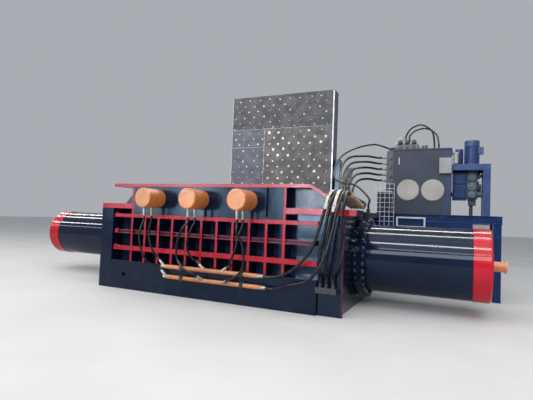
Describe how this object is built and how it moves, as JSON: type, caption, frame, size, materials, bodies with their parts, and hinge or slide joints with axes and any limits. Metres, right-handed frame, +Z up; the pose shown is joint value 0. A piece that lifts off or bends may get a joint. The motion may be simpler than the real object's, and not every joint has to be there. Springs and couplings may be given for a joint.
{
  "type": "scrap metal baler",
  "caption": "Twin ram scrap metal baler with a ribbed press chamber, a hinged lid with lock pins, hose lines and a hydraulic power unit on a deck.",
  "frame": {"origin": "middle of the footprint on the floor", "axes": "+X along the two pressing rams towards the power unit end, +Y from the lock cylinders to the rear, +Z up"},
  "size_m": [10.4, 4.87, 4.575],
  "materials": {
    "body_paint": "gloss",
    "red_paint": "gloss",
    "liner_steel": "satin",
    "orange_paint": "satin",
    "zinc": "satin",
    "rod_chrome": "gloss",
    "gland_steel": "satin",
    "clamp_black": "satin",
    "guard_grey": "matte",
    "sleeve_cloth": "matte",
    "tank_paint": "satin",
    "cream_paint": "satin",
    "valve_steel": "satin",
    "light_wire": "gloss",
    "motor_blue": "satin",
    "pump_iron": "matte",
    "hose_rubber": "satin"
  },
  "bodies": {
    "frame": {"base_frame": "body_paint", "side_walls": "body_paint", "lock_beam": "body_paint", "left_end": "body_paint", "right_end": "body_paint", "hinge_ears": "body_paint", "barrels": "body_paint", "lid_cylinders": "body_paint", "unit_frame": "body_paint", "motor_stand": "body_paint", "front_ribs": "red_paint", "top_rail": "red_paint", "channel_covers": "red_paint", "end_caps": "red_paint", "wear_liners": "liner_steel", "end_ports": "orange_paint", "lock_cylinders": "orange_paint", "distribution_pipes": "orange_paint", "flange_bolts": "zinc", "hose_fittings": "zinc", "hinge_pins": "zinc", "rod_glands": "gland_steel", "pipe_clamps": "clamp_black", "oil_cooler": "clamp_black", "hose_guard": "guard_grey", "hose_sleeve": "sleeve_cloth", "oil_tank": "tank_paint", "tank_fittings": "cream_paint", "control_box": "cream_paint", "valve_manifold": "valve_steel", "valve_bank": "valve_steel", "cooler_guard": "light_wire", "motors": "motor_blue", "pump": "pump_iron", "hose_lock_1a": "hose_rubber", "hose_lock_1b": "hose_rubber", "hose_lock_2a": "hose_rubber", "hose_lock_2b": "hose_rubber", "hose_lock_3a": "hose_rubber", "hose_lock_3b": "hose_rubber", "hose_feed_1": "hose_rubber", "hose_feed_2": "hose_rubber", "hose_main_1": "hose_rubber", "hose_main_2": "hose_rubber", "hose_main_3": "hose_rubber", "hose_arc_1": "hose_rubber", "hose_arc_2": "hose_rubber", "hose_cylinder": "hose_rubber"},
    "left_ram": {"left_ram": "liner_steel", "left_rod": "rod_chrome"},
    "right_ram": {"right_ram": "liner_steel", "right_rod": "rod_chrome"},
    "lid": {"lid_frame": "body_paint", "lid_liner": "liner_steel", "lid_lugs": "body_paint"},
    "lid_rod_left": {"lid_rod_left": "rod_chrome"},
    "lid_rod_right": {"lid_rod_right": "rod_chrome"},
    "lock_pin_1": {"lock_pin_1": "rod_chrome"},
    "lock_pin_2": {"lock_pin_2": "rod_chrome"},
    "lock_pin_3": {"lock_pin_3": "rod_chrome"}
  },
  "joints": [
    {"name": "left_ram_slide", "type": "slide", "parent": "frame", "child": "left_ram", "axis": [1, 0, 0], "range_m": [0, 1.35]},
    {"name": "right_ram_slide", "type": "slide", "parent": "frame", "child": "right_ram", "axis": [-1, 0, 0], "range_m": [0, 1.3]},
    {"name": "lid_hinge", "type": "hinge", "parent": "frame", "child": "lid", "pos_m": [0.38, 1.215, 1.9], "axis": [1, 0, 0], "range_deg": [0, 90]},
    {"name": "lid_rod_left_slide", "type": "slide", "parent": "frame", "child": "lid_rod_left", "axis": [0, 0, 1], "range_m": [0, 0.4956]},
    {"name": "lid_rod_right_slide", "type": "slide", "parent": "frame", "child": "lid_rod_right", "axis": [0, 0, 1], "range_m": [0, 0.4956]},
    {"name": "lock_pin_1_slide", "type": "slide", "parent": "frame", "child": "lock_pin_1", "axis": [0, 1, 0], "range_m": [0, 0.24]},
    {"name": "lock_pin_2_slide", "type": "slide", "parent": "frame", "child": "lock_pin_2", "axis": [0, 1, 0], "range_m": [0, 0.24]},
    {"name": "lock_pin_3_slide", "type": "slide", "parent": "frame", "child": "lock_pin_3", "axis": [0, 1, 0], "range_m": [0, 0.24]}
  ],
  "couplings": [
    {"joint": "lid_rod_left_slide", "follows": "lid_hinge", "m_per_rad": 0.31511},
    {"joint": "lid_rod_right_slide", "follows": "lid_hinge", "m_per_rad": 0.31511}
  ]
}
